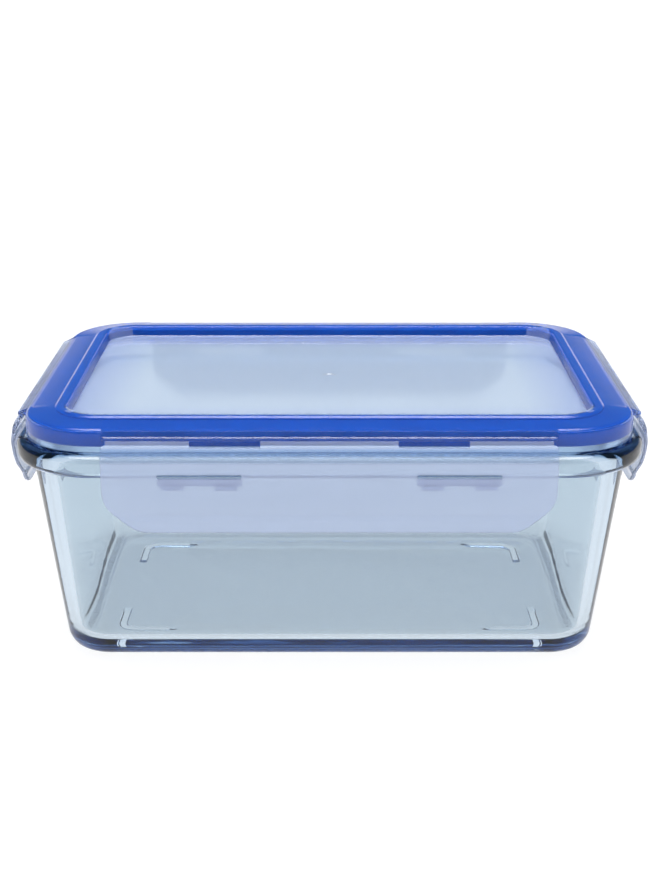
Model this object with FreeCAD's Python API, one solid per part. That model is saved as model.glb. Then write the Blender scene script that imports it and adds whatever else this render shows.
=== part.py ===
import FreeCAD, Part
import math
import os

# Rectangular glass food container with a clip-on lid. Millimetres, +Z up, origin on the
# surface it stands on, under the middle. +X runs along the length and -Y is the front.
#
# "Ring line" below is the outer edge of the lid's flat rim: a rounded rectangle that the
# lid, the gasket and the glass rim all follow. A profile point is (out, z): how far it
# lies outside the ring line, and its height. The rim's top rises inwards by RING_SLOPE.

V = FreeCAD.Vector

# Driving dimensions
RING_HALF_X = 110.0
RING_HALF_Y = 78.0
RING_CORNER_R = 25.6
RING_TOP_Z = 96.0
RING_SLOPE = 0.094

FOOT_HEIGHT = 1.0
BASE_HALF_X = 100.3
BASE_HALF_Y = 68.3
BASE_CORNER_R = 17.0
BASE_EDGE_R = 7.5
FLOOR_Z = 6.6
FLOOR_INSET = 4.4
FLOOR_EDGE_R = 6.5
WALL_TOP_Z = 76.9
WALL_TOP_OUT = 0.1
BEAD_OUT = 6.1
BEAD_TOP_Z = 86.6
LIP_OUTER = -0.8
LIP_INNER = -5.9
LIP_TOP_Z = 91.4
LIP_EDGE_R = 1.6
# The bead's underside rises this much, and its lower and upper corners are this round
BEAD_RISE = 2.1
BEAD_LOW_R = 4.2
BEAD_HIGH_R = 3.0
BEAD_ROOT_R = 0.6
# How far the rim's section reaches down and into the wall, where the two are one
RIM_ROOT = 3.0
RIM_REACH = 6.0

FOOT_OUTER_X = 83.0
FOOT_OUTER_Y = 49.0
FOOT_ARM = 22.5
FOOT_WIDTH = 3.3
FOOT_BEND_R = 8.0
FOOT_TIP_R = 1.5
FOOT_JOIN = 1.0

SKIRT_OUT = 2.4
SKIRT_BOTTOM_Z = 87.1
SKIRT_EDGE_R = 0.5
SHOULDER_R = 2.4
WALL = 1.3
RIM_THICKNESS = 1.5
RIDGE_TOP_Z = 97.4
RIDGE_THICKNESS = 1.6
RIDGE_EDGE_R = 0.8
PANEL_TOP_Z = 93.3
PANEL_THICKNESS = 1.5
PANEL_EDGE_OUT = -13.8
PANEL_OVERLAP = 1.0
GASKET_BOTTOM_Z = 91.7
GASKET_LEG_Z = 89.2
GASKET_INNER = -9.0
GASKET_RIDGE_OUT = -12.0
GROOVE_TOP_Z = 94.0
GATE_R = 2.8
GATE_DEPTH = 0.3

LAND_OUT = 5.8
LAND_TOP_Z = 93.8
LAND_BOTTOM_Z = 92.4
HINGE_OUT = 6.35
HINGE_Z = 91.8
HINGE_ROD_R = 0.3
HINGE_TIE_BACK = 0.35
# Where a land's ramp starts on the rim, and how far it reaches into it
LAND_START = -0.5
LAND_ROOT = 1.2

FLAP_TOP_Z = 91.15
FLAP_BOTTOM_Z = 58.9
FLAP_TOP_OUT = 6.6
FLAP_TOP_R = 1.8
FLAP_FACE_OUT = 9.0
SLOT_Z = 80.3
SLOT_HEIGHT = 1.7
WINDOW_DEPTH = 0.9
WINDOW_R = 0.8
# Cutting shapes start this far outside the ring line and are this deep
CUT_OUT = 12.0
RIB_WIDTH = 8.0
# Half widths of the two kinds of flap
LONG_FLAP = 80.9
SHORT_FLAP = 52.4
# How much is cut off their lower corners, across and up, and how round the cut's ends are
LONG_CUT = (12.5, 9.5, 11.0)
SHORT_CUT = (20.0, 16.0, 13.0)
# Places along a flap, as fractions of its half width
WINDOW = (0.301, 0.612)
SLOT = (0.382, 0.756)
RIBS = (0.453, 0.688)

# Faces of a flap below the hinge: (how far outside FLAP_FACE_OUT, z, corner radius). The
# outer face is read downwards and the inner face upwards. Both lean in towards the foot.
FLAP_OUTER_FACE = (
    (-0.9, 87.8, 5.0),
    (0.0, 82.4, 8.0),
    (-1.0, 65.8, 2.5),
    (-0.5, 63.4, 1.5),
)
FLAP_INNER_FACE = (
    (-2.2, 62.8, 1.5),
    (-2.5, 65.0, 1.5),
    (-1.4, 81.4, 6.0),
    (-1.7, 85.9, 2.0),
)
FLAP_FOOT = (-2.2, -0.5)
FLAP_EDGE_R = 0.5
# The catch ridge: its tip and its underside, as (out, z, corner radius), and its two
# heights where it joins the flap
CATCH_TIP = (4.3, 78.05, 0.35)
CATCH_UNDER = (4.9, 77.15, 0.4)
CATCH_ROOT_Z = (79.2, 76.5)
RIB_ROOT_Z = (76.6, 74.8)

# Each flap: its name, half width, corner cut, how far its ring side lies from the middle,
# and the turn about +Z that takes the front of the container to it
SIDES = (
    ("front", LONG_FLAP, LONG_CUT, RING_HALF_Y, 0),
    ("right", SHORT_FLAP, SHORT_CUT, RING_HALF_X, 90),
    ("back", LONG_FLAP, LONG_CUT, RING_HALF_Y, 180),
    ("left", SHORT_FLAP, SHORT_CUT, RING_HALF_X, 270),
)


def rounded(points):
    """A closed wire through (point, radius) corners, each rounded by a tangent arc."""
    edges = []
    first = last = None
    count = len(points)
    for n, (here, radius) in enumerate(points):
        before = points[n - 1][0]
        after = points[(n + 1) % count][0]
        to_before = (before - here).normalize()
        to_after = (after - here).normalize()
        if radius:
            half = to_before.getAngle(to_after) / 2
            reach = radius / math.tan(half)
            start = here + to_before * reach
            end = here + to_after * reach
            inward = (to_before + to_after).normalize()
            middle = here + inward * (radius / math.sin(half) - radius)
        else:
            start = end = here
        if last is not None and (start - last).Length > 1e-6:
            edges.append(Part.LineSegment(last, start).toShape())
        if radius:
            edges.append(Part.Arc(start, middle, end).toShape())
        if first is None:
            first = start
        last = end
    if (first - last).Length > 1e-6:
        edges.append(Part.LineSegment(last, first).toShape())
    return Part.Wire(edges)


def outline(half_x, half_y, corner_r, z):
    """A rounded rectangle around the Z axis."""
    corners = ((-1, -1), (1, -1), (1, 1), (-1, 1))
    return rounded([(V(x * half_x, y * half_y, z), corner_r) for x, y in corners])


def slab(half_x, half_y, corner_r, low, high):
    return Part.Face(outline(half_x, half_y, corner_r, low)).extrude(V(0, 0, high - low))


def tapered(low, high):
    """A solid between two rounded rectangles, each (half_x, half_y, corner_r, z)."""
    return Part.makeLoft([outline(*low), outline(*high)], True, True)


def section(profile, depth, x):
    """A face at X = x from (out, z, radius) points, on the front side of the ring."""
    points = [(V(x, -(depth + out), z), radius) for out, z, radius in profile]
    return Part.Face(rounded(points))


def band(profile):
    """The solid that a profile makes when it is carried all the way round the ring."""
    run_x = RING_HALF_X - RING_CORNER_R
    run_y = RING_HALF_Y - RING_CORNER_R
    up = V(0, 0, 1)
    front = section(profile, RING_HALF_Y, -run_x).extrude(V(2 * run_x, 0, 0))
    corner = section(profile, RING_HALF_Y, run_x)
    corner = corner.revolve(V(run_x, -run_y, 0), up, 90)
    end = section(profile, RING_HALF_X, -run_y).extrude(V(2 * run_y, 0, 0))
    end.rotate(V(0, 0, 0), up, 90)
    other = corner.mirror(V(0, 0, 0), V(0, 1, 0))
    half = [front, corner, end, other]
    whole = list(half)
    for piece in half:
        turned = piece.copy()
        turned.rotate(V(0, 0, 0), up, 180)
        whole.append(turned)
    return whole[0].multiFuse(whole[1:]).removeSplitter()


def ring_slab(out, low, high):
    """A slab whose edge lies a fixed distance from the ring line."""
    return slab(RING_HALF_X + out, RING_HALF_Y + out, RING_CORNER_R + out, low, high)


def placed(shape, turn):
    shape.rotate(V(0, 0, 0), V(0, 0, 1), turn)
    return shape


def block(x_low, x_high, depth, out_low, out_high, z_low, z_high):
    """A box on the front side, given by its distances outside the ring line."""
    size = (x_high - x_low, out_high - out_low, z_high - z_low)
    return Part.makeBox(*size, V(x_low, -(depth + out_high), z_low))


def along(half_width, fractions):
    """The two mirrored X spans that a pair of fractions marks on a flap."""
    near, far = (half_width * f for f in fractions)
    return ((-far, -near), (near, far))


def foot():
    """One L-shaped foot ridge under the front left corner, joined a little into the base."""
    inner_x = FOOT_OUTER_X - FOOT_WIDTH
    inner_y = FOOT_OUTER_Y - FOOT_WIDTH
    end_x = FOOT_OUTER_X - FOOT_ARM
    end_y = FOOT_OUTER_Y - FOOT_ARM
    corners = (
        (-FOOT_OUTER_X, -end_y, FOOT_TIP_R),
        (-FOOT_OUTER_X, -FOOT_OUTER_Y, FOOT_BEND_R),
        (-end_x, -FOOT_OUTER_Y, FOOT_TIP_R),
        (-end_x, -inner_y, FOOT_TIP_R),
        (-inner_x, -inner_y, FOOT_BEND_R - FOOT_WIDTH),
        (-inner_x, -end_y, FOOT_TIP_R),
    )
    wire = rounded([(V(x, y, 0), radius) for x, y, radius in corners])
    return Part.Face(wire).extrude(V(0, 0, FOOT_HEIGHT + FOOT_JOIN))


def glass_container():
    top_edge = (
        RING_HALF_X + WALL_TOP_OUT,
        RING_HALF_Y + WALL_TOP_OUT,
        RING_CORNER_R + WALL_TOP_OUT,
        WALL_TOP_Z,
    )
    outside = tapered((BASE_HALF_X, BASE_HALF_Y, BASE_CORNER_R, FOOT_HEIGHT), top_edge)
    low = [e for e in outside.Edges if e.BoundBox.ZMax < FOOT_HEIGHT + 0.01]
    outside = outside.makeFillet(BASE_EDGE_R, low)
    rim = band((
        (LIP_INNER - RIM_REACH, WALL_TOP_Z - RIM_ROOT, 0),
        (WALL_TOP_OUT - RIM_ROOT, WALL_TOP_Z - RIM_ROOT, 0),
        (WALL_TOP_OUT, WALL_TOP_Z, 0),
        (BEAD_OUT, WALL_TOP_Z + BEAD_RISE, BEAD_LOW_R),
        (BEAD_OUT, BEAD_TOP_Z, BEAD_HIGH_R),
        (LIP_OUTER, BEAD_TOP_Z, BEAD_ROOT_R),
        (LIP_OUTER, LIP_TOP_Z, LIP_EDGE_R),
        (LIP_INNER - RIM_REACH, LIP_TOP_Z, 0),
    ))
    core = ring_slab(LIP_INNER - RIM_REACH + 1.0, WALL_TOP_Z - RIM_ROOT, LIP_TOP_Z)
    inside = tapered(
        (
            BASE_HALF_X - FLOOR_INSET,
            BASE_HALF_Y - FLOOR_INSET,
            BASE_CORNER_R - FLOOR_INSET,
            FLOOR_Z,
        ),
        (
            RING_HALF_X + LIP_INNER,
            RING_HALF_Y + LIP_INNER,
            RING_CORNER_R + LIP_INNER,
            LIP_TOP_Z + 1.0,
        ),
    )
    floor = [e for e in inside.Edges if e.BoundBox.ZMax < FLOOR_Z + 0.01]
    inside = inside.makeFillet(FLOOR_EDGE_R, floor)
    glass = outside.fuse([rim, core]).cut(inside)
    feet = []
    for flip_x in (False, True):
        for flip_y in (False, True):
            one = foot()
            if flip_x:
                one = one.mirror(V(0, 0, 0), V(1, 0, 0))
            if flip_y:
                one = one.mirror(V(0, 0, 0), V(0, 1, 0))
            feet.append(one)
    glass = glass.fuse(feet).removeSplitter()
    mouth = [
        e for e in glass.Edges
        if e.BoundBox.ZMin > LIP_TOP_Z - 0.01 and e.BoundBox.ZMax < LIP_TOP_Z + 0.01
        and e.BoundBox.YMax < RING_HALF_Y + LIP_INNER + 0.5
        and e.BoundBox.YMin > -(RING_HALF_Y + LIP_INNER + 0.5)
        and e.BoundBox.XMax < RING_HALF_X + LIP_INNER + 0.5
        and e.BoundBox.XMin > -(RING_HALF_X + LIP_INNER + 0.5)
    ]
    return glass.makeFillet(LIP_EDGE_R, mouth)


def lid():
    """Rim, skirt, gasket channel and stacking ridge round a flat panel, with hinge lands."""
    panel_bottom = PANEL_TOP_Z - PANEL_THICKNESS
    channel_roof = RING_TOP_Z - RIM_THICKNESS
    ridge_roof = RIDGE_TOP_Z - RIDGE_THICKNESS
    inner_edge = GASKET_INNER + 0.5
    rim = band((
        (SKIRT_OUT, SKIRT_BOTTOM_Z, SKIRT_EDGE_R),
        (SKIRT_OUT, RING_TOP_Z - SKIRT_OUT * RING_SLOPE, SHOULDER_R),
        (inner_edge, RING_TOP_Z - inner_edge * RING_SLOPE, 0.5),
        (GASKET_INNER - 0.4, RIDGE_TOP_Z, RIDGE_EDGE_R),
        (PANEL_EDGE_OUT + 0.9, RIDGE_TOP_Z, RIDGE_EDGE_R),
        (PANEL_EDGE_OUT, PANEL_TOP_Z, 0.6),
        (PANEL_EDGE_OUT - 2 * PANEL_OVERLAP, PANEL_TOP_Z, 0),
        (PANEL_EDGE_OUT - 2 * PANEL_OVERLAP, panel_bottom, 0),
        (GASKET_RIDGE_OUT, panel_bottom, 0.3),
        (GASKET_RIDGE_OUT, ridge_roof, 0.4),
        (GASKET_INNER, ridge_roof, 0.4),
        (GASKET_INNER, channel_roof, 0.2),
        (SKIRT_OUT - WALL, channel_roof, 0.2),
        (SKIRT_OUT - WALL, SKIRT_BOTTOM_Z, 0.3),
    ))
    panel = ring_slab(PANEL_EDGE_OUT - PANEL_OVERLAP, panel_bottom, PANEL_TOP_Z)
    lands = []
    root = RING_TOP_Z - LAND_ROOT
    ramp = (
        (LAND_START, RING_TOP_Z - LAND_START * RING_SLOPE, 0),
        (LAND_OUT, LAND_TOP_Z, 0.4),
        (LAND_OUT, LAND_BOTTOM_Z, 0.3),
        (SKIRT_OUT - WALL / 2, LAND_BOTTOM_Z, 0),
        (SKIRT_OUT - WALL / 2, root - 0.4, 0),
        (LAND_START, root, 0),
    )
    for _, half_width, _, depth, turn in SIDES:
        land = section(ramp, depth, -half_width).extrude(V(2 * half_width, 0, 0))
        lands.append(placed(land, turn))
    body = rim.fuse([panel] + lands).removeSplitter()
    gate = Part.makeCylinder(GATE_R, GATE_DEPTH, V(0, 0, PANEL_TOP_Z - GATE_DEPTH))
    return body.cut(gate)


def gasket():
    """Fills the lid's rim from the ridge to the skirt, with a leg outside the glass lip."""
    return band((
        (GASKET_RIDGE_OUT, RIDGE_TOP_Z - RIDGE_THICKNESS, 0.5),
        (GASKET_INNER, RIDGE_TOP_Z - RIDGE_THICKNESS, 0.5),
        (GASKET_INNER, RING_TOP_Z - RIM_THICKNESS, 0.2),
        (SKIRT_OUT - WALL, RING_TOP_Z - RIM_THICKNESS, 0.5),
        (SKIRT_OUT - WALL, GASKET_LEG_Z, 0.5),
        (LIP_OUTER + 0.4, GASKET_LEG_Z, 0.5),
        (LIP_OUTER + 0.4, GASKET_BOTTOM_Z, 0.3),
        (LIP_INNER - 1.2, GASKET_BOTTOM_Z, 0.4),
        (LIP_INNER - 1.2, GROOVE_TOP_Z, 0.5),
        (GASKET_RIDGE_OUT + 1.5, GROOVE_TOP_Z, 0.5),
        (GASKET_RIDGE_OUT + 1.5, GASKET_BOTTOM_Z, 0.4),
        (GASKET_RIDGE_OUT, GASKET_BOTTOM_Z, 0.4),
    ))


def flap(half_width, cut, depth):
    """Bulged plate that hangs from the hinge, clear of the glass bead, with a grip at its foot."""
    face = FLAP_FACE_OUT
    inner, outer = (face + offset for offset in FLAP_FOOT)
    back = LAND_OUT - 0.6
    profile = [(FLAP_TOP_OUT, FLAP_TOP_Z, FLAP_EDGE_R)]
    profile += [(face + out, z, radius) for out, z, radius in FLAP_OUTER_FACE]
    profile += [(outer, FLAP_BOTTOM_Z, FLAP_EDGE_R), (inner, FLAP_BOTTOM_Z, FLAP_EDGE_R)]
    profile += [(face + out, z, radius) for out, z, radius in FLAP_INNER_FACE]
    profile += [(back, FLAP_TOP_Z - 1.55, 1.0), (back, FLAP_TOP_Z, 0.3)]
    plate = section(profile, depth, -half_width)
    plate = plate.extrude(V(2 * half_width, 0, 0))
    across, up, cut_r = cut
    corners = (
        (-half_width, FLAP_BOTTOM_Z + up, cut_r),
        (-half_width + across, FLAP_BOTTOM_Z, cut_r),
        (half_width - across, FLAP_BOTTOM_Z, cut_r),
        (half_width, FLAP_BOTTOM_Z + up, cut_r),
        (half_width, FLAP_TOP_Z, FLAP_TOP_R),
        (-half_width, FLAP_TOP_Z, FLAP_TOP_R),
    )
    front = depth + CUT_OUT
    shape = rounded([(V(x, -front, z), radius) for x, z, radius in corners])
    plate = plate.common(Part.Face(shape).extrude(V(0, CUT_OUT, 0)))
    cuts = []
    for x_low, x_high in along(half_width, SLOT):
        low = SLOT_Z - SLOT_HEIGHT / 2
        high = SLOT_Z + SLOT_HEIGHT / 2
        ends = ((x_low, low), (x_high, low), (x_high, high), (x_low, high))
        oblong = rounded([(V(x, -front, z), SLOT_HEIGHT * 0.49) for x, z in ends])
        cuts.append(Part.Face(oblong).extrude(V(0, CUT_OUT, 0)))
    for x_low, x_high in along(half_width, WINDOW):
        top = FLAP_TOP_Z + 1.0
        low = FLAP_TOP_Z - WINDOW_DEPTH
        bottom = ((x_low, low, WINDOW_R), (x_high, low, WINDOW_R))
        ends = (*bottom, (x_high, top, 0), (x_low, top, 0))
        notch = rounded([(V(x, -front, z), radius) for x, z, radius in ends])
        cuts.append(Part.Face(notch).extrude(V(0, CUT_OUT, 0)))
    return plate.cut(cuts)


def catches(half_width, cut, depth):
    """Two ridges that hook under the glass bead, each on two ribs, on the flap's inner face."""
    root = FLAP_FACE_OUT - 1.0
    ridge = ((root, CATCH_ROOT_Z[0], 0), CATCH_TIP, CATCH_UNDER, (root, CATCH_ROOT_Z[1], 0))
    rib = (
        (root, RIB_ROOT_Z[0], 0),
        (CATCH_UNDER[0] + 0.3, CATCH_UNDER[1], 0),
        (root - 0.8, RIB_ROOT_Z[1], 0),
        (root, RIB_ROOT_Z[1], 0),
    )
    pieces = []
    for n, (x_low, x_high) in enumerate(along(half_width, SLOT)):
        piece = section(ridge, depth, x_low).extrude(V(x_high - x_low, 0, 0))
        side = (-1, 1)[n]
        width = RIB_WIDTH * half_width / LONG_FLAP
        ribs = []
        for fraction in RIBS:
            start = side * fraction * half_width - width / 2
            ribs.append(section(rib, depth, start).extrude(V(width, 0, 0)))
        pieces.append(piece.fuse(ribs).removeSplitter())
    return Part.makeCompound(pieces).cut(flap(half_width, cut, depth))


def living_hinge(half_width, depth):
    """Three thin webs on the hinge line, between and beside the two windows."""
    near, far = (half_width * f for f in WINDOW)
    end = half_width - FLAP_TOP_R
    spans = ((-end, -far), (-near, near), (far, end))
    webs = []
    for x_low, x_high in spans:
        centre = V(x_low, -(depth + HINGE_OUT), HINGE_Z)
        rod = Part.makeCylinder(HINGE_ROD_R, x_high - x_low, centre, V(1, 0, 0))
        near_out = LAND_OUT - HINGE_TIE_BACK
        tie = block(x_low, x_high, depth, near_out, HINGE_OUT, HINGE_Z, LAND_BOTTOM_Z)
        webs.append(rod.fuse(tie).removeSplitter())
    return Part.makeCompound(webs)


os.makedirs("parts", exist_ok=True)
nodes = {"glass_container": glass_container(), "lid": lid(), "gasket": gasket()}
for name, half_width, cut, depth, turn in SIDES:
    nodes[name + "_flap"] = placed(flap(half_width, cut, depth), turn)
    nodes[name + "_flap_catches"] = placed(catches(half_width, cut, depth), turn)
    nodes[name + "_living_hinge"] = placed(living_hinge(half_width, depth), turn)

for name, shape in nodes.items():
    shape.exportStep("parts/" + name + ".step")
    box = shape.BoundBox
    print(
        f"{name:22s} solids {len(shape.Solids)} valid {shape.isValid()}"
        f" volume {shape.Volume / 1000:8.2f} cm3"
        f" x {box.XMin:8.2f} {box.XMax:8.2f} y {box.YMin:8.2f} {box.YMax:8.2f}"
        f" z {box.ZMin:7.2f} {box.ZMax:7.2f}"
    )
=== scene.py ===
import math

import bmesh
import bpy
import numpy as np
from mathutils import Matrix, Vector


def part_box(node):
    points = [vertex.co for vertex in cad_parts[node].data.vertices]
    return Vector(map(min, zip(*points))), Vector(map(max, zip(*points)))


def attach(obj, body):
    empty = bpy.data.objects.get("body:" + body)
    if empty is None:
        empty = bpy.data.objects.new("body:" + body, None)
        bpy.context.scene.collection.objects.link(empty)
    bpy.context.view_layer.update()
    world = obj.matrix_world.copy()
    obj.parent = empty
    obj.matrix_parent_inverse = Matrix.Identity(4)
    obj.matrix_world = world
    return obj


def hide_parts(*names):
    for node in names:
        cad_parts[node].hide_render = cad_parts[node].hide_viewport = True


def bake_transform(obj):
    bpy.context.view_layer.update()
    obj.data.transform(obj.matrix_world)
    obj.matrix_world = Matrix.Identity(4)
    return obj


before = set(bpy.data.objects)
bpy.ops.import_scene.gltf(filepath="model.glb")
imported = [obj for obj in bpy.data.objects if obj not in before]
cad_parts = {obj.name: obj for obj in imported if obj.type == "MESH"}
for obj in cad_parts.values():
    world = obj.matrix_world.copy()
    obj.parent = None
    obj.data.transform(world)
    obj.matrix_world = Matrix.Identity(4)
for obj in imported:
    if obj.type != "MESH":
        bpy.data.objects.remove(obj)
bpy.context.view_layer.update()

# The box's shapes are written in millimetres and turned into metres when a mesh is made.
# "out" is a distance outside the ring line, the outer edge of the lid's flat rim.
MM = 0.001

# ---------------------------------------------------------------- sizes from the frame


def box_mm(node):
    low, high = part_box(node)
    return Vector(low) / MM, Vector(high) / MM


glass_low, glass_high = box_mm("glass_container")
lid_low, lid_high = box_mm("lid")
gasket_low, gasket_high = box_mm("gasket")
front_low, front_high = box_mm("front_flap")
_, right_high = box_mm("right_flap")

# Heights of the glass
LIP_HEIGHT = 4.8
RIM_HEIGHT = 14.5
LIP_TOP = glass_high.z
BEAD_TOP = LIP_TOP - LIP_HEIGHT
WALL_TOP_Z = LIP_TOP - RIM_HEIGHT
# Heights of the lid and the gasket, and how far the lid's parts lie below its ridge
RIM_DROP = 1.4
PANEL_DROP = 4.1
LAND_DROP = 3.6
PANEL_THICKNESS = 1.5
LAND_THICKNESS = 1.4
GASKET_GAP = 0.3
RING_TOP_Z = lid_high.z - RIM_DROP
PANEL_TOP = lid_high.z - PANEL_DROP
PANEL_BOTTOM = PANEL_TOP - PANEL_THICKNESS
LAND_TOP_Z = lid_high.z - LAND_DROP
LAND_BOTTOM_Z = LAND_TOP_Z - LAND_THICKNESS
GASKET_BOTTOM = LIP_TOP + GASKET_GAP
# Heights of the flaps
SLOT_DROP = 10.85
FLAP_TOP = front_high.z
FLAP_BOTTOM = front_low.z
SLOT_Z = FLAP_TOP - SLOT_DROP

# How far out the hinge lands and the panel's edge lie, and the size of the ring line
LAND_OUT = 5.8
PANEL_EDGE = -13.8
RING_X = lid_high.x - LAND_OUT
RING_Y = lid_high.y - LAND_OUT
CORNER_R = 25.6
RUN_X = RING_X - CORNER_R
RUN_Y = RING_Y - CORNER_R

# How much is cut off a flap's lower corners, across and up, and how round the cut's ends are
LONG_CUT = (12.5, 9.5, 11.0)
SHORT_CUT = (20.0, 16.0, 13.0)
# Each flap: its name, half width, corner cut, ring line's distance from the middle, turn
SIDES = (
    ("front", front_high.x, LONG_CUT, RING_Y, 0),
    ("right", right_high.y, SHORT_CUT, RING_X, 90),
    ("back", front_high.x, LONG_CUT, RING_Y, 180),
    ("left", right_high.y, SHORT_CUT, RING_X, 270),
)

# ---------------------------------------------------------------- mesh helpers

# Longest steps round an arc on small edges, in millimetres
MEDIUM_STEP = 0.2
FINE_STEP = 0.12


def arc_profile(points, step=0.35):
    """(a, b, radius) corners as a list of points, with each radius drawn as an arc."""
    result = []
    count = len(points)
    for n, (a, b, radius) in enumerate(points):
        here = Vector((a, b))
        before = Vector(points[n - 1][:2]) - here
        after = Vector(points[(n + 1) % count][:2]) - here
        if not radius:
            result.append((a, b))
            continue
        before.normalize()
        after.normalize()
        half = before.angle(after) / 2
        reach = radius / math.tan(half)
        centre = here + (before + after).normalized() * (radius / math.sin(half))
        start = here + before * reach - centre
        end = here + after * reach - centre
        turn = start.angle_signed(end)
        parts = max(3, math.ceil(abs(turn) * max(radius, 0.5) / step))
        for k in range(parts + 1):
            angle = -turn * k / parts
            spin = Matrix.Rotation(angle, 2)
            result.append(tuple(centre + spin @ start))
    return result


def make_object(name, points, faces, smooth=35):
    """A closed mesh, smooth where its faces meet at less than the angle smooth."""
    mesh = bpy.data.meshes.new(name)
    mesh.from_pydata([Vector(p) * MM for p in points], [], faces)
    mesh.validate()
    build = bmesh.new()
    build.from_mesh(mesh)
    bmesh.ops.remove_doubles(build, verts=build.verts, dist=1e-7)
    bmesh.ops.recalc_face_normals(build, faces=build.faces)
    build.to_mesh(mesh)
    build.free()
    piece = bpy.data.objects.new(name, mesh)
    bpy.context.scene.collection.objects.link(piece)
    mesh.shade_smooth()
    mesh.set_sharp_from_angle(angle=math.radians(smooth))
    return piece


def skin(name, rings, closed=True, smooth=35):
    """A mesh through rings of equally many points. closed joins the last ring to the first,
    and otherwise both ends are capped."""
    size = len(rings[0])
    points = [p for ring in rings for p in ring]
    faces = []
    last = len(rings) if closed else len(rings) - 1
    for n in range(last):
        here = n * size
        there = (n + 1) % len(rings) * size
        for k in range(size):
            nxt = (k + 1) % size
            faces.append((here + k, here + nxt, there + nxt, there + k))
    if not closed:
        faces.append(tuple(range(size)))
        faces.append(tuple(range(last * size, (last + 1) * size)))
    return make_object(name, points, faces, smooth)


def ring(half_x, half_y, radius, z, stations, arc=14):
    """Points round a rounded rectangle. stations holds, for the X runs and the Y runs, the
    places along a run from -1 to 1. Returns the points and, for each, (side, place)."""
    points = []
    marks = []
    run = (half_x - radius, half_y - radius)
    for side in range(4):
        turn = math.radians(90 * side)
        long = side % 2 == 0
        length = run[0] if long else run[1]
        depth = half_y if long else half_x
        spin = Matrix.Rotation(turn, 3, "Z")
        for place in stations[side % 2]:
            points.append(spin @ Vector((place * length, -depth, z)))
            marks.append((side, place))
        for k in range(1, arc):
            angle = math.radians(90 * k / arc)
            x = length + radius * math.sin(angle)
            y = -(depth - radius) - radius * math.cos(angle)
            points.append(spin @ Vector((x, y, z)))
            marks.append((side, None))
    return points, marks


def even(count):
    """Places from -1 to 1, evenly spaced."""
    return [2 * k / count - 1 for k in range(count + 1)]


def turned(piece, degrees):
    piece.data.transform(Matrix.Rotation(math.radians(degrees), 4, "Z"))
    return piece


# ---------------------------------------------------------------- materials


class Shader:
    """A node material, built socket by socket."""

    def __init__(self, name):
        self.material = bpy.data.materials.new(name)
        self.material.use_nodes = True
        self.tree = self.material.node_tree
        self.main = self.tree.nodes["Principled BSDF"]
        self.output = self.tree.nodes["Material Output"]
        self.place = self.tree.nodes.new("ShaderNodeTexCoord").outputs["Object"]

    def node(self, kind, **settings):
        made = self.tree.nodes.new("ShaderNode" + kind)
        for key, value in settings.items():
            if key in made.inputs:
                made.inputs[key].default_value = value
            else:
                setattr(made, key, value)
        return made

    def link(self, start, end):
        self.tree.links.new(start, end)

    def set(self, **values):
        for key, value in values.items():
            self.main.inputs[key.replace("_", " ")].default_value = value

    def noise(self, scale, detail=3.0, rough=0.5):
        made = self.node("TexNoise", Scale=scale, Detail=detail, Roughness=rough)
        self.link(self.place, made.inputs["Vector"])
        return made.outputs["Fac"]

    def spread(self, value, low, high, start=0.3, end=0.7):
        """value, from start to end, as low to high."""
        made = self.node("MapRange")
        made.inputs["From Min"].default_value = start
        made.inputs["From Max"].default_value = end
        made.inputs["To Min"].default_value = low
        made.inputs["To Max"].default_value = high
        self.link(value, made.inputs["Value"])
        return made.outputs["Result"]

    def coordinate(self, axis):
        split = self.node("SeparateXYZ")
        self.link(self.place, split.inputs["Vector"])
        return split.outputs[axis]

    def height(self):
        return self.coordinate("Z")

    def product(self, *values):
        result = values[0]
        for value in values[1:]:
            made = self.node("Math", operation="MULTIPLY")
            self.link(result, made.inputs[0])
            self.link(value, made.inputs[1])
            result = made.outputs["Value"]
        return result

    def bump(self, height, strength, distance, below=None):
        made = self.node("Bump", Strength=strength, Distance=distance)
        self.link(height, made.inputs["Height"])
        if below is not None:
            self.link(below, made.inputs["Normal"])
        return made.outputs["Normal"]


# The stipple round the base edge: where it fades in and out, in metres above the table
STIPPLE_BOTTOM = (0.00102, 0.0013)
STIPPLE_TOP = (0.003, 0.0045)


def glass_material():
    """Glass with slow waves, fine ripples, a stippled base edge and a blue-green depth."""
    s = Shader("glass")
    s.set(
        Base_Color=(0.74, 0.795, 0.825, 1), Roughness=0.0, IOR=1.5,
        Transmission_Weight=1.0, Specular_IOR_Level=0.38,
    )
    normal = s.bump(s.noise(scale=28.0, detail=2.0), strength=0.02, distance=0.004)
    ripples = s.noise(scale=160.0, detail=2.0)
    normal = s.bump(ripples, strength=0.01, distance=0.0006, below=normal)
    above_base = s.spread(s.height(), 0.0, 1.0, *STIPPLE_BOTTOM)
    below_wall = s.spread(s.height(), 1.0, 0.0, *STIPPLE_TOP)
    stipple = s.product(s.noise(scale=900.0, detail=1.0), above_base, below_wall)
    normal = s.bump(stipple, strength=0.6, distance=0.0008, below=normal)
    s.link(normal, s.main.inputs["Normal"])
    smears = s.noise(scale=55.0, detail=4.0)
    s.link(s.spread(smears, low=0.0, high=0.035), s.main.inputs["Roughness"])
    tint = s.node("VolumeAbsorption", Color=(0.08, 0.40, 0.72, 1.0), Density=14.0)
    s.link(tint.outputs["Volume"], s.output.inputs["Volume"])
    return s.material


# How much a plastic's roughness varies over its surface
ROUGH_SPREAD = 0.05


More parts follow.
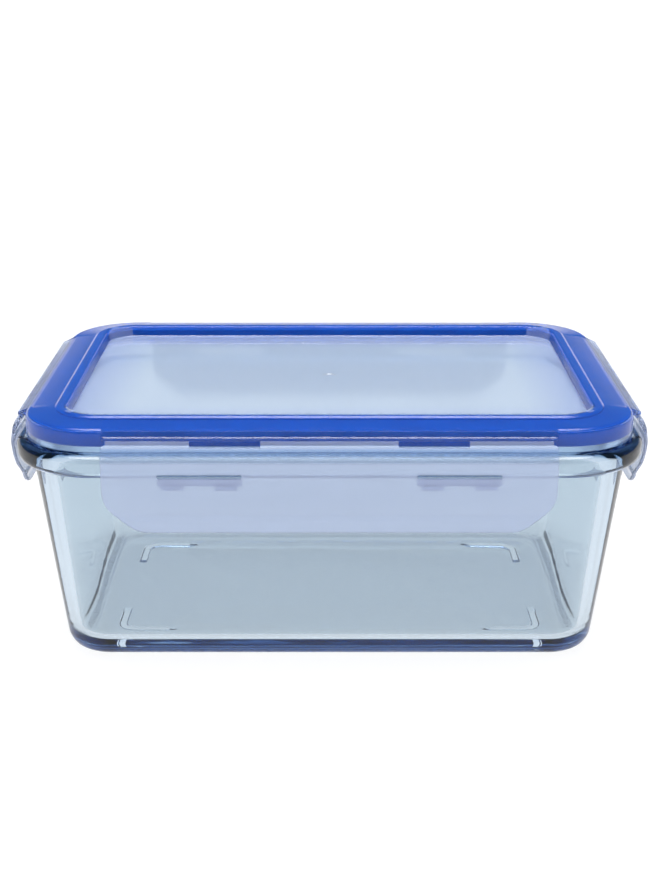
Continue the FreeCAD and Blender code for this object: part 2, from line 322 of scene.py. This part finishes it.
def plastic(name, ior, transmission, rough, specular, base):
    """Translucent plastic with slow waves and an uneven polish."""
    s = Shader(name)
    s.set(
        Base_Color=(*base, 1), IOR=ior, Transmission_Weight=transmission,
        Specular_IOR_Level=specular,
    )
    polish = s.spread(s.noise(scale=90.0, detail=4.0), rough, rough + ROUGH_SPREAD)
    s.link(polish, s.main.inputs["Roughness"])
    normal = s.bump(s.noise(scale=40.0, detail=2.0), strength=0.02, distance=0.0012)
    s.link(normal, s.main.inputs["Normal"])
    return s


def panel_material():
    """The sunken panel's plastic, with a painted blue glow towards its edge that stands in for light
    from the silicone beside it scattering through the plastic.
    """
    s = plastic(
        "panel_polypropylene", ior=1.49, transmission=0.76, rough=0.05, specular=0.3, base=PALE,
    )
    inward = []
    for axis, half in (("X", RING_X), ("Y", RING_Y)):
        size = s.node("Math", operation="ABSOLUTE")
        s.link(s.coordinate(axis), size.inputs[0])
        limit = (half + PANEL_EDGE) * MM
        inward.append(s.spread(size.outputs["Value"], 1.0, 0.0, limit - PAINTED_GLOW_WIDTH, limit))
    # Painted glow: lavender at the panel's edge, standing in for blue light from the silicone, fading
    # to pale inward
    tint = s.node("ValToRGB")
    tint.color_ramp.elements[0].color = (*LAVENDER, 1)
    tint.color_ramp.elements[1].color = (*PALE, 1)
    s.link(s.product(*inward), tint.inputs["Fac"])
    s.link(tint.outputs["Color"], s.main.inputs["Base Color"])
    return s.material


def flap_material():
    """Milky plastic that is clearer in a strip near its top, where it lies close to the bead."""
    s = plastic(
        "flap_polypropylene", ior=1.2, transmission=FLAP_MILKY, rough=0.08, specular=0.5,
        base=MILKY,
    )
    bottom, top = FLAP_TOP - CLEAR_BOTTOM, FLAP_TOP - CLEAR_TOP
    above = s.spread(s.height(), 0.0, 1.0, bottom * MM, (bottom + CLEAR_FADE) * MM)
    below = s.spread(s.height(), 1.0, 0.0, (top - CLEAR_FADE) * MM, top * MM)
    strip = s.product(above, below)
    clearness = s.spread(strip, FLAP_MILKY, FLAP_CLEAR, 0.0, 1.0)
    s.link(clearness, s.main.inputs["Transmission Weight"])
    return s.material


def silicone_material():
    """Deep blue rubber with a cloudy colour and a fine moulded grain."""
    s = Shader("silicone")
    s.set(IOR=1.42, Specular_IOR_Level=0.25)
    blend = s.node("ValToRGB")
    blend.color_ramp.elements[0].color = (*DEEP_BLUE, 1)
    blend.color_ramp.elements[1].color = (*BRIGHT_BLUE, 1)
    s.link(s.noise(scale=70.0, detail=4.0), blend.inputs["Fac"])
    s.link(blend.outputs["Color"], s.main.inputs["Base Color"])
    sheen = s.spread(s.noise(scale=220.0, detail=3.0), low=0.38, high=0.52)
    s.link(sheen, s.main.inputs["Roughness"])
    normal = s.bump(s.noise(scale=1500.0, detail=3.0), strength=0.2, distance=0.00008)
    s.link(normal, s.main.inputs["Normal"])
    return s.material


# The panel's painted blue glow fades over this distance from its edge, in metres
PAINTED_GLOW_WIDTH = 0.022
# The flaps' clearer strip, in millimetres below their top edge, and how much light passes
CLEAR_BOTTOM = 6.2
CLEAR_TOP = 0.8
CLEAR_FADE = 0.9
FLAP_MILKY = 0.69
FLAP_CLEAR = 0.97
# Colours of the plastic and the silicone
# LAVENDER is the painted glow at the panel's edge, blue light from the silicone, not a colour of the
# plastic
LAVENDER = (0.71, 0.76, 0.96)
PALE = (0.92, 0.96, 1.0)
BLUISH = (0.66, 0.80, 1.0)
MILKY = (0.80, 0.84, 0.96)
SOFT_LAVENDER = (0.75, 0.80, 0.97)
DEEP_BLUE = (0.0, 0.12, 0.60)
BRIGHT_BLUE = (0.0, 0.15, 0.70)

GLASS = glass_material()
SILICONE = silicone_material()
PANEL = panel_material()
RIM = plastic(
    "clear_polypropylene", ior=1.49, transmission=0.99, rough=0.14, specular=0.18, base=BLUISH,
).material
FLAP = flap_material()
CATCH = plastic(
    "catch_polypropylene", ior=1.1, transmission=0.72, rough=0.2, specular=0.5, base=SOFT_LAVENDER,
).material


def finish_piece(piece, body, slot, material, *nodes):
    """Gives a piece its material and body, and hides the CAD nodes it stands for. The slot is not
    used.
    """
    piece.data.materials.clear()
    piece.data.materials.append(material)
    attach(piece, body)
    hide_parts(*nodes)
    return piece


# ---------------------------------------------------------------- glass container

FOOT_OUTER = (83.0, 49.0)
FOOT_ARM = 22.5
FOOT_WIDTH = 3.3
FOOT_HEIGHT = 1.0
FOOT_BEND_R = 8.0
BASE_HALF = (100.3, 68.3)
BASE_R = 17.0
BASE_EDGE_R = 7.5
FLOOR_Z = 6.6
FLOOR_INSET = 4.4
FLOOR_EDGE_R = 6.5
WALL_TOP_OUT = 0.1
BEAD_RISE = 2.1
BEAD_LOW_R = 4.2
BEAD_HIGH_R = 3.0
BEAD_ROOT_R = 0.6
LIP_OUTER = -0.8
LIP_INNER = -5.9
LIP_R = 1.6
# Steps along the glass's long and short sides, close enough for the feet's ends
GLASS_STATIONS = (110, 70)
# How a foot's side rises, and how its arms' ends fade out, in millimetres
FOOT_SIDE = ((0.0, 0), (0.15, 0.7), (0.5, 1))
FOOT_MARGIN = 0.6
FOOT_END = 1.2


def around(out, z):
    """The ring (half_x, half_y, radius, z) that lies out from the ring line."""
    return [RING_X + out, RING_Y + out, CORNER_R + out, z]


def between(low, high, share):
    return [a + (b - a) * share for a, b in zip(low, high)]


def tapered_wall(low, high, start, end, steps):
    """Rings (half_x, half_y, radius, z) from share start to share end of the way up."""
    return [between(low, high, start + (end - start) * k / steps) for k in range(steps + 1)]


def corner_round(low, high, radius, steps):
    """Rings round the edge where a tapered wall meets a flat bottom at low's height."""
    slope = math.atan2(high[0] - low[0], high[3] - low[3])
    turn = math.pi / 2 - slope
    reach = radius * math.tan(turn / 2)
    rings = []
    for k in range(steps + 1):
        angle = turn * k / steps
        inset = reach - radius * math.sin(angle)
        up = radius - radius * math.cos(angle)
        rings.append([low[0] - inset, low[1] - inset, low[2] - inset, low[3] + up])
    return rings


def glass_rings():
    """The glass's outside from the base edge to the wall top, and the rest down to the floor."""
    bottom_z = glass_low.z + FOOT_HEIGHT
    low = [*BASE_HALF, BASE_R, bottom_z]
    high = around(WALL_TOP_OUT, WALL_TOP_Z)
    edge = corner_round(low, high, BASE_EDGE_R, steps=12)
    rise = (edge[-1][3] - low[3]) / (high[3] - low[3])
    outside = edge + tapered_wall(low, high, rise, 1.0, steps=10)[1:]
    bead_out = glass_high.x - RING_X
    bead = arc_profile((
        (WALL_TOP_OUT, WALL_TOP_Z, 0),
        (bead_out, WALL_TOP_Z + BEAD_RISE, BEAD_LOW_R),
        (bead_out, BEAD_TOP, BEAD_HIGH_R),
        (LIP_OUTER, BEAD_TOP, BEAD_ROOT_R),
        (LIP_OUTER, LIP_TOP, LIP_R),
        (LIP_INNER, LIP_TOP, LIP_R),
    ))
    rim = [around(out, z) for out, z in bead[1:]]
    floor_low = [side - FLOOR_INSET for side in (*BASE_HALF, BASE_R)] + [FLOOR_Z]
    mouth = around(LIP_INNER, LIP_TOP + 1.0)
    floor_edge = corner_round(floor_low, mouth, FLOOR_EDGE_R, steps=10)
    rise = mouth[3] - FLOOR_Z
    top_share = (rim[-1][3] - FLOOR_Z) / rise
    low_share = (floor_edge[-1][3] - FLOOR_Z) / rise
    inner = tapered_wall(floor_low, mouth, top_share, low_share, steps=12)[1:-1]
    return outside, rim + inner + floor_edge[::-1]


def foot_rings(bottom_z):
    """Rings across the feet: (ring, height of the foot there from 0 to 1)."""
    outer_x, outer_y = FOOT_OUTER
    across = [(-FOOT_MARGIN, 0), *FOOT_SIDE]
    across += [(FOOT_WIDTH - inset, share) for inset, share in reversed(across)]
    rings = []
    for inset, share in across:
        radius = max(FOOT_BEND_R - inset, FOOT_END)
        rings.append(([outer_x - inset, outer_y - inset, radius, bottom_z], share))
    return rings


def foot_share(point):
    """1 where a foot's arms are, 0 elsewhere, with rounded ends."""
    x, y = abs(point[0]), abs(point[1])
    end_x = FOOT_OUTER[0] - FOOT_ARM
    end_y = FOOT_OUTER[1] - FOOT_ARM
    inside_x = min(max((x - end_x) / FOOT_END, 0), 1)
    inside_y = min(max((y - end_y) / FOOT_END, 0), 1)
    return min(inside_x, inside_y)


def glass_container():
    """Feet, base, walls, bead, lip, inside and floor as one closed skin."""
    outside, inside = glass_rings()
    bottom_z = outside[0][3]
    stations = [even(count) for count in GLASS_STATIONS]
    feet = foot_rings(bottom_z)
    margin = tapered_wall(feet[0][0], outside[0], 0.0, 1.0, steps=3)[1:-1]
    rings = []
    for shape, share in feet[::-1] + [(shape, 0) for shape in margin]:
        points, _ = ring(*shape, stations)
        for p in points:
            p.z -= FOOT_HEIGHT * share * foot_share(p)
        rings.append(points)
    for shape in outside + inside:
        rings.append(ring(*shape, stations)[0])
    return skin("glass_container", rings, closed=False)


# ---------------------------------------------------------------- lid and gasket

SKIRT_OUT = 2.4
WALL = 1.3
RING_SLOPE = 0.094
PANEL_START = -17.8
GASKET_INNER = -9.0
GASKET_RIDGE = -12.0
RIDGE_ROOF = lid_high.z - 1.6
RIM_THICKNESS = 1.5
RIDGE_R = 0.9
RIDGE_FOOT = 0.5
SHOULDER_R = 2.2
SHOULDER_END = -0.5
SHOULDER_BACK = -6.0
GATE_R = 2.8
GATE_DEPTH = 0.3
GATE_SIDES = 60
# Steps down a land's profile, the roundness of its ends, and the places along an end and between
LAND_STEPS = 24
LAND_END_R = 0.9
LAND_STATIONS = (0.0, 0.06, 0.25, 0.55, 0.9, 1.4)
LAND_PARTS = 20
# The gasket is bonded into its channel, so its faces lie this far inside the lid's
CONTACT = 0.04
# The gasket's hollow and the wall inside it, its leg outside the lip and its seat inside it
HOLLOW_DEPTH = 2.3
HOLLOW_WALL = 1.5
LEG_GAP = 0.4
SEAT_REACH = 1.2
# The shallow groove in its seat over the lip: (out, how far up)
SEAT_GROOVE = ((-2.6, 0.0), (-3.0, 0.5), (-3.8, 0.5), (-4.2, 0.0))


def resampled(points, count):
    """count points spread evenly along a line of points."""
    line = np.array(points)
    steps = np.linalg.norm(np.diff(line, axis=0), axis=1)
    along_line = np.concatenate(([0.0], np.cumsum(steps)))
    places = np.linspace(0.0, along_line[-1], count)
    return list(zip(*(np.interp(places, along_line, line[:, axis]) for axis in (0, 1))))


def rim_top(out):
    """The height of the rim's sloping top, that far out."""
    return RING_TOP_Z - out * RING_SLOPE


def shoulder():
    """The lid's outer shoulder, and the hinge land that replaces it over a flap: two lines of
    (out, z) with as many points, going up and inwards."""
    start = (SKIRT_OUT, LAND_BOTTOM_Z)
    top = (SHOULDER_END, rim_top(SHOULDER_END))
    below = (SKIRT_OUT, LAND_BOTTOM_Z - 4.0, 0)
    inside = (SHOULDER_BACK, rim_top(SHOULDER_BACK), 0)
    corner = (SKIRT_OUT, rim_top(SKIRT_OUT), SHOULDER_R)
    plain = [start] + arc_profile((below, corner, inside))[1:-1] + [top]
    edge = arc_profile((
        (SKIRT_OUT - 3.0, LAND_BOTTOM_Z, 0),
        (LAND_OUT, LAND_BOTTOM_Z, 0.3),
        (LAND_OUT, LAND_TOP_Z, 0.5),
        (*top, 0),
    ), FINE_STEP)
    land = [start] + edge[1:-1] + [top]
    return resampled(plain, LAND_STEPS), resampled(land, LAND_STEPS)


def lid():
    """The whole moulding as one skin, with a hinge land pushed out over each flap."""
    ridge_top = lid_high.z
    inner_edge = GASKET_INNER + RIDGE_FOOT
    roof = RING_TOP_Z - RIM_THICKNESS
    under = arc_profile((
        (PANEL_START, PANEL_BOTTOM, 0),
        (GASKET_RIDGE, PANEL_BOTTOM, 0.3),
        (GASKET_RIDGE, RIDGE_ROOF, 0.4),
        (GASKET_INNER, RIDGE_ROOF, 0.4),
        (GASKET_INNER, roof, 0.2),
        (SKIRT_OUT - WALL, roof, 0.2),
        (SKIRT_OUT - WALL, lid_low.z, 0.3),
        (SKIRT_OUT, lid_low.z, 0.5),
        (SKIRT_OUT, LAND_BOTTOM_Z, 0),
    ))[:-1]
    over = arc_profile((
        (SHOULDER_END, rim_top(SHOULDER_END), 0),
        (inner_edge, rim_top(inner_edge), 0.5),
        (GASKET_INNER - 0.4, ridge_top, RIDGE_R),
        (PANEL_EDGE + RIDGE_R, ridge_top, RIDGE_R),
        (PANEL_EDGE, PANEL_TOP, 0.6),
        (PANEL_START, PANEL_TOP, 0),
    ))[1:]
    plain, land = shoulder()
    rows = [(p, p) for p in under] + list(zip(plain, land)) + [(p, p) for p in over]
    places = (stations_for(RUN_X, SIDES[0][1]), stations_for(RUN_Y, SIDES[1][1]))
    rings = []
    for base, target in rows:
        points, marks = ring(*around(*base), places)
        if base != target:
            shift = (target[0] - base[0], target[1] - base[1])
            for p, (side, place) in zip(points, marks):
                push_land(p, side, place, shift)
        rings.append(points)
    top = []
    bottom = []
    for share in (0.8, 0.6, 0.4, 0.2, 0.06):
        shape = [side * share for side in around(PANEL_START, 0)[:3]]
        top.append(ring(*shape, PANEL_TOP, places)[0])
        bottom.append(ring(*shape, PANEL_BOTTOM, places)[0])
    moulding = skin("lid", bottom[::-1] + rings + top, closed=False)
    cut(moulding, [gate_cutter()], 35)
    return moulding


def frost_panel(moulding):
    """Gives the sunken panel, top and bottom, the frosted finish."""
    moulding.data.materials.append(PANEL)
    half_x = (RING_X + PANEL_EDGE) * MM
    half_y = (RING_Y + PANEL_EDGE) * MM
    for face in moulding.data.polygons:
        x, y, _ = face.center
        if abs(x) < half_x and abs(y) < half_y:
            face.material_index = 1


def gate_cutter():
    """The shallow round mark in the middle of the panel, with a sloped edge."""
    low = PANEL_TOP - GATE_DEPTH
    rings = []
    for radius, z in ((GATE_R - 0.3, low), (GATE_R, PANEL_TOP), (GATE_R + 1.0, PANEL_TOP + 1.0)):
        angles = [math.radians(360 / GATE_SIDES * k) for k in range(GATE_SIDES)]
        rings.append([(radius * math.cos(a), radius * math.sin(a), z) for a in angles])
    return skin("gate_cutter", rings, closed=False)


def stations_for(run, flap_half):
    """Places along a run from -1 to 1, with close ones at the land's rounded ends."""
    end = min(flap_half, run)
    near = [end - back for back in LAND_STATIONS]
    inner = [near[-1] * k / LAND_PARTS for k in range(1, LAND_PARTS)]
    half = sorted(set(inner + near + ([run] if run - end > 0.05 else [])))
    return [-v / run for v in reversed(half)] + [0.0] + [v / run for v in half]


def push_land(point, side, place, shift):
    """Moves a point by (out, up) where its side has a hinge land."""
    if place is None:
        return
    run = RUN_X if side % 2 == 0 else RUN_Y
    end = min(SIDES[side][1], run)
    gap = end - abs(place) * run
    if gap < -1e-6:
        return
    short = max(0.0, LAND_END_R - gap)
    share = math.sqrt(max(0.0, 1 - (short / LAND_END_R) ** 2))
    turn = Matrix.Rotation(math.radians(90 * side), 3, "Z")
    point += turn @ Vector((0, -shift[0] * share, shift[1] * share))


def gasket():
    """Fills the rim from the ridge to the skirt, with a leg outside the glass lip."""
    outer = SKIRT_OUT - WALL + CONTACT
    inner = GASKET_RIDGE - CONTACT
    roof = RING_TOP_Z - RIM_THICKNESS + CONTACT
    hollow = GASKET_BOTTOM + HOLLOW_DEPTH
    leg = LIP_OUTER + LEG_GAP
    seat = LIP_INNER - SEAT_REACH
    profile = [
        (inner, gasket_high.z + CONTACT, 0.5),
        (GASKET_INNER + CONTACT, gasket_high.z + CONTACT, 0.5),
        (GASKET_INNER + CONTACT, roof, 0.2),
        (outer, roof, 0.5),
        (outer, gasket_low.z, 0.5),
        (leg, gasket_low.z, 0.5),
        (leg, GASKET_BOTTOM, 0.3),
        *[(out, GASKET_BOTTOM + up, 0.15) for out, up in SEAT_GROOVE],
        (seat, GASKET_BOTTOM, 0.4),
        (seat, hollow, 0.5),
        (inner + HOLLOW_WALL, hollow, 0.5),
        (inner + HOLLOW_WALL, GASKET_BOTTOM, 0.4),
        (inner, GASKET_BOTTOM, 0.4),
    ]
    places = (even(20), even(14))
    rings = [ring(*around(out, z), places)[0] for out, z in arc_profile(profile)]
    return skin("gasket", rings)


# ---------------------------------------------------------------- flaps

FACE_OUT = 9.0
FLAP_TOP_R = 1.8
FLAP_TOP_OUT = 6.6
FLAP_TOP_IN = LAND_OUT - 0.6
FLAP_EDGE = 0.5
# Layers through a flap's thickness: share of its outer and inner face, share of the edge's inset
EDGE_LAYERS = ((1.0, 0.0, 1.0), (0.85, 0.15, 0.3), (0.5, 0.5, 0.0), (0.15, 0.85, 0.3), (0.0, 1.0, 1.0))
FLAP_ROWS = 60
FLAP_COLUMNS = 90
SLOT_HEIGHT = 1.7
WINDOW_DEPTH = 0.9
# Windows, slots and ribs, as shares of a flap's half width
WINDOW = (0.301, 0.612)
SLOT = (0.382, 0.756)
RIBS = (0.453, 0.688)
RIB_WIDTH = 8.0
# A living hinge's half thickness, its flare at both ends and its distance inside the land's edge,
# and how far it reaches into the land and the flap
WEB_HALF = 0.17
WEB_FLARE = 0.5
WEB_INSET = 0.35
WEB_STEPS = 14
LAND_TIE = 0.1
FLAP_TIE = 0.25
# A flap's faces: (how far outside the ring line, how far below its top edge, corner radius)
OUTER_FACE = (
    (FACE_OUT - 0.9, 3.35, 5.0),
    (FACE_OUT, 8.75, 8.0),
    (FACE_OUT - 1.0, 25.35, 2.5),
    (FACE_OUT - 0.5, 27.75, 2.0),
)
INNER_FACE = (
    (FLAP_TOP_IN, 1.55, 1.0),
    (FACE_OUT - 1.7, 5.25, 2.0),
    (FACE_OUT - 1.4, 9.75, 6.0),
    (FACE_OUT - 2.5, 26.15, 2.5),
    (FACE_OUT - 2.2, 28.35, 2.0),
)
# A catch's ridge, given in the same way, and the ribs behind it, with sharp corners
CATCH_ROOT = FACE_OUT - 1.7
RIDGE_SECTION = ((CATCH_ROOT, 12.1, 0), (4.3, 13.1, 0.35), (4.9, 14.0, 0.4), (CATCH_ROOT, 14.6, 0))
RIB_SECTION = ((CATCH_ROOT, 14.5), (5.3, 14.1), (CATCH_ROOT - 0.6, 16.3), (CATCH_ROOT, 16.3))


def flap_face(corners, top_out, far_out):
    """A flap face as (out, z) points going down, with a little below its foot."""
    bottom = FLAP_BOTTOM - 4.0
    points = [(top_out, FLAP_TOP, 0)]
    points += [(out, FLAP_TOP - drop, radius) for out, drop, radius in corners]
    points += [(corners[-1][0], bottom, 0), (far_out, bottom, 0), (far_out, FLAP_TOP, 0)]
    return arc_profile(points)[:-2]


def out_at(face, z):
    """How far out a face, given going down, is at a height."""
    zs = [p[1] for p in face][::-1]
    outs = [p[0] for p in face][::-1]
    return float(np.interp(z, zs, outs))


def side_edge(half_width, cut_off, inset):
    """One side edge of a flap, inset by a little, as (half width, z) points going up."""
    across, up, cut_r = cut_off
    half, low, high = half_width - inset, FLAP_BOTTOM + inset, FLAP_TOP - inset
    points = arc_profile((
        (0, low, 0),
        (half - across, low, cut_r),
        (half, low + up, cut_r),
        (half, high, FLAP_TOP_R - inset),
        (0, high, 0),
    ), MEDIUM_STEP)
    return points[1:-1]


def flap_heights(inset):
    """Heights up a flap, close together at its foot and at its top edge."""
    low, high = FLAP_BOTTOM + inset, FLAP_TOP - inset
    shares = [(1 - math.cos(math.pi * k / FLAP_ROWS)) / 2 for k in range(FLAP_ROWS + 1)]
    return [low + (high - low) * share for share in shares]


def flap(name, half_width, cut_off, depth):
    """Bulged plate built as two faces and a rounded edge, then cut for slots and windows."""
    outer = flap_face(OUTER_FACE, FLAP_TOP_OUT, FACE_OUT + 20.0)
    inner = flap_face(INNER_FACE, FLAP_TOP_IN, FACE_OUT - 20.0)
    columns = [math.sin(math.pi * (k / FLAP_COLUMNS - 0.5)) for k in range(FLAP_COLUMNS + 1)]
    last = len(EDGE_LAYERS) - 1
    points = []
    index = {}
    for layer, (outer_share, inner_share, edge_share) in enumerate(EDGE_LAYERS):
        inset = FLAP_EDGE * edge_share
        edge = side_edge(half_width, cut_off, inset)
        for r, z in enumerate(flap_heights(inset)):
            half = out_at(edge[::-1], z)
            out = out_at(outer, z) * outer_share + out_at(inner, z) * inner_share
            for c, place in enumerate(columns):
                if 0 < layer < last and 0 < r < FLAP_ROWS and 0 < c < FLAP_COLUMNS:
                    continue
                index[layer, r, c] = len(points)
                points.append((half * place, -(depth + out), z))
    faces = []
    for layer in (0, last):
        for r in range(FLAP_ROWS):
            for c in range(FLAP_COLUMNS):
                loop = ((r, c), (r, c + 1), (r + 1, c + 1), (r + 1, c))
                faces.append([index[(layer, *spot)] for spot in loop])
    border = [(0, c) for c in range(FLAP_COLUMNS)]
    border += [(r, FLAP_COLUMNS) for r in range(FLAP_ROWS)]
    border += [(FLAP_ROWS, c) for c in range(FLAP_COLUMNS, 0, -1)]
    border += [(r, 0) for r in range(FLAP_ROWS, 0, -1)]
    for layer in range(last):
        for n, here in enumerate(border):
            there = border[(n + 1) % len(border)]
            loop = ((layer, *here), (layer, *there), (layer + 1, *there), (layer + 1, *here))
            faces.append([index[spot] for spot in loop])
    plate = make_object(name, points, faces, 50)
    cut(plate, flap_cutters(half_width, depth), 50)
    return plate


def along(half_width, fractions):
    """The two mirrored spans between shares of a flap's half width."""
    near, far = (half_width * f for f in fractions)
    return ((-far, -near), (near, far))


def prism(name, outline, low, high):
    """A solid between two planes Y = low and Y = high from an (x, z) outline."""
    rings = [[(x, y, z) for x, z in outline] for y in (low, high)]
    return skin(name, rings, closed=False, smooth=50)


def flap_cutters(half_width, depth):
    """Two round-ended slots and two windows that are open at the top."""
    cutters = []
    near, far = -(depth + 14.0), -(depth + 2.0)
    low, high = SLOT_Z - SLOT_HEIGHT / 2, SLOT_Z + SLOT_HEIGHT / 2
    end = SLOT_HEIGHT * 0.499
    for x_low, x_high in along(half_width, SLOT):
        corners = ((x_low, low, end), (x_high, low, end), (x_high, high, end), (x_low, high, end))
        cutters.append(prism("slot_cutter", arc_profile(corners, MEDIUM_STEP), near, far))
    low, high = FLAP_TOP - WINDOW_DEPTH, FLAP_TOP + 1.0
    for x_low, x_high in along(half_width, WINDOW):
        corners = ((x_low, low, 0.8), (x_high, low, 0.8), (x_high, high, 0), (x_low, high, 0))
        cutters.append(prism("window_cutter", arc_profile(corners, MEDIUM_STEP), near, far))
    return cutters


def cut(piece, cutters, smooth):
    """Cuts the cutters out of a piece, then smooths it again."""
    for cutter in cutters:
        modifier = piece.modifiers.new("cut", "BOOLEAN")
        modifier.operation = "DIFFERENCE"
        modifier.solver = "EXACT"
        modifier.object = cutter
    bake_modifiers(piece)
    for cutter in cutters:
        bpy.data.objects.remove(cutter)
    piece.data.shade_smooth()
    piece.data.set_sharp_from_angle(angle=math.radians(smooth))


def bake_modifiers(piece):
    graph = bpy.context.evaluated_depsgraph_get()
    made = bpy.data.meshes.new_from_object(piece.evaluated_get(graph))
    piece.modifiers.clear()
    piece.data = made


def join(name, pieces):
    """Joins closed meshes into one object."""
    build = bmesh.new()
    for piece in pieces:
        build.from_mesh(piece.data)
        bpy.data.objects.remove(piece)
    mesh = bpy.data.meshes.new(name)
    build.to_mesh(mesh)
    build.free()
    made = bpy.data.objects.new(name, mesh)
    bpy.context.scene.collection.objects.link(made)
    mesh.shade_smooth()
    mesh.set_sharp_from_angle(angle=math.radians(40))
    return made


def bar(profile, depth, x_low, x_high):
    """A solid along X from an (out, z) profile, with small rounded ends."""
    centre = Vector((sum(p[0] for p in profile), sum(p[1] for p in profile))) / len(profile)
    ends = ((x_low, 0.12), (x_low + 0.15, 0.0), (x_high - 0.15, 0.0), (x_high, 0.12))
    rings = []
    for x, shrink in ends:
        loop = [Vector(p).lerp(centre, shrink) for p in profile]
        rings.append([(x, -(depth + p.x), p.y) for p in loop])
    return skin("bar", rings, closed=False)


def catches(name, half_width, depth):
    """Two ridges that hook under the bead, each on two ribs, on the flap's inner face."""
    corners = [(out, FLAP_TOP - drop, radius) for out, drop, radius in RIDGE_SECTION]
    ridge = arc_profile(corners, FINE_STEP)
    rib = [(out, FLAP_TOP - drop) for out, drop in RIB_SECTION]
    pieces = []
    width = RIB_WIDTH * half_width / SIDES[0][1]
    for n, (x_low, x_high) in enumerate(along(half_width, SLOT)):
        pieces.append(bar(ridge, depth, x_low, x_high))
        for fraction in RIBS:
            start = (-1, 1)[n] * fraction * half_width - width / 2
            pieces.append(bar(rib, depth, start, start + width))
    return join(name, pieces)


def living_hinge(name, half_width, depth):
    """Three thin webs from under the land to the flap's top edge."""
    near, far = (half_width * f for f in WINDOW)
    end = half_width - FLAP_TOP_R
    spans = ((-end, -far), (-near, near), (far, end))
    top, bottom = LAND_BOTTOM_Z + LAND_TIE, FLAP_TOP - FLAP_TIE
    pieces = []
    for x_low, x_high in spans:
        rings = []
        for k in range(WEB_STEPS + 1):
            z = bottom + (top - bottom) * k / WEB_STEPS
            thick = WEB_HALF + WEB_FLARE * abs(2 * k / WEB_STEPS - 1) ** 4
            middle = LAND_OUT - WEB_INSET - (thick - WEB_HALF)
            inner, outer = middle - thick, middle + thick
            loop = ((x_low, inner), (x_high, inner), (x_high, outer), (x_low, outer))
            rings.append([(x, -(depth + out), z) for x, out in loop])
        pieces.append(skin("web", rings, closed=False))
    return join(name, pieces)


# ---------------------------------------------------------------- build the pieces

box = finish_piece(glass_container(), "container", "glass", GLASS, "glass_container")
box.name = "glass_box"
moulding = finish_piece(lid(), "lid", "clear_polypropylene", RIM, "lid")
moulding.name = "lid_moulding"
frost_panel(moulding)
finish_piece(gasket(), "lid", "silicone", SILICONE, "gasket").name = "gasket_ring"
for side, half_width, cut_off, depth, turn in SIDES:
    body = side + "_flap"
    plate = turned(flap(side + "_flap_plate", half_width, cut_off, depth), turn)
    finish_piece(plate, body, "clear_polypropylene", FLAP, side + "_flap")
    hooks = turned(catches(side + "_catch_ridges", half_width, depth), turn)
    finish_piece(hooks, body, "clear_polypropylene", CATCH, side + "_flap_catches")
    webs = turned(living_hinge(side + "_hinge_webs", half_width, depth), turn)
    webs.data.materials.append(FLAP)
    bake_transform(webs)
    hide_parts(side + "_living_hinge")

# ---------------------------------------------------------------- floor, light, camera

FLOOR_HALF = 9.0
# The studio's levels, by height from the horizon up: (height, level, tone)
WHITE = (1.0, 1.0, 1.0)
DUSK = (0.4, 0.8, 1.5)
SKY = (
    (0.0, 0.13, WHITE),
    (0.08, 0.13, WHITE),
    (0.20, 0.035, DUSK),
    (0.88, 0.035, DUSK),
    (0.96, 1.0, WHITE),
)
SKY_STRENGTH = 8.0
CAMERA_PLACE = (0.0002, -0.5985, 0.2616)
CAMERA_PITCH = 18.12
CAMERA_LENS = 63.0


def floor():
    """A white table that glows enough to stay white beside the glass."""
    mesh = bpy.data.meshes.new("floor")
    half = FLOOR_HALF
    corners = ((-half, -half, 0), (half, -half, 0), (half, half, 0), (-half, half, 0))
    mesh.from_pydata(corners, [], [(0, 1, 2, 3)])
    piece = bpy.data.objects.new("floor", mesh)
    bpy.context.scene.collection.objects.link(piece)
    s = Shader("floor")
    s.set(
        Base_Color=(0.12, 0.12, 0.12, 1), Roughness=0.9, Specular_IOR_Level=0.1,
        Emission_Color=(1, 1, 1, 1), Emission_Strength=0.94,
    )
    mesh.materials.append(s.material)


def studio():
    """A pale sweep at the horizon, a dim room above it and a soft light overhead."""
    world = bpy.data.worlds.new("studio")
    bpy.context.scene.world = world
    world.use_nodes = True
    tree = world.node_tree
    place = tree.nodes.new("ShaderNodeTexCoord")
    split = tree.nodes.new("ShaderNodeSeparateXYZ")
    ramp = tree.nodes.new("ShaderNodeValToRGB")
    tree.links.new(place.outputs["Generated"], split.inputs["Vector"])
    tree.links.new(split.outputs["Z"], ramp.inputs["Fac"])
    stops = ramp.color_ramp.elements
    for height, _, _ in SKY[1:-1]:
        stops.new(height)
    for stop, (height, level, tone) in zip(stops, SKY):
        stop.position = height
        stop.color = [level * share for share in tone] + [1.0]
    back = tree.nodes["Background"]
    tree.links.new(ramp.outputs["Color"], back.inputs["Color"])
    back.inputs["Strength"].default_value = SKY_STRENGTH


def camera():
    data = bpy.data.cameras.new("camera")
    data.lens = CAMERA_LENS
    data.sensor_width = 36.0
    data.clip_start = 0.05
    data.clip_end = 60.0
    holder = bpy.data.objects.new("camera", data)
    holder.location = CAMERA_PLACE
    holder.rotation_euler = (math.radians(90 - CAMERA_PITCH), 0, 0)
    bpy.context.scene.collection.objects.link(holder)
    bpy.context.scene.camera = holder


floor()
studio()
camera()
scene = bpy.context.scene
scene.view_settings.view_transform = "Standard"
scene.cycles.use_denoising = True
# Light passes many faces of glass and plastic on its way to the camera
scene.cycles.max_bounces = 28
scene.cycles.transmission_bounces = 24
scene.cycles.glossy_bounces = 10
scene.cycles.diffuse_bounces = 4
scene.cycles.blur_glossy = 0.6
scene.cycles.sample_clamp_indirect = 6.0
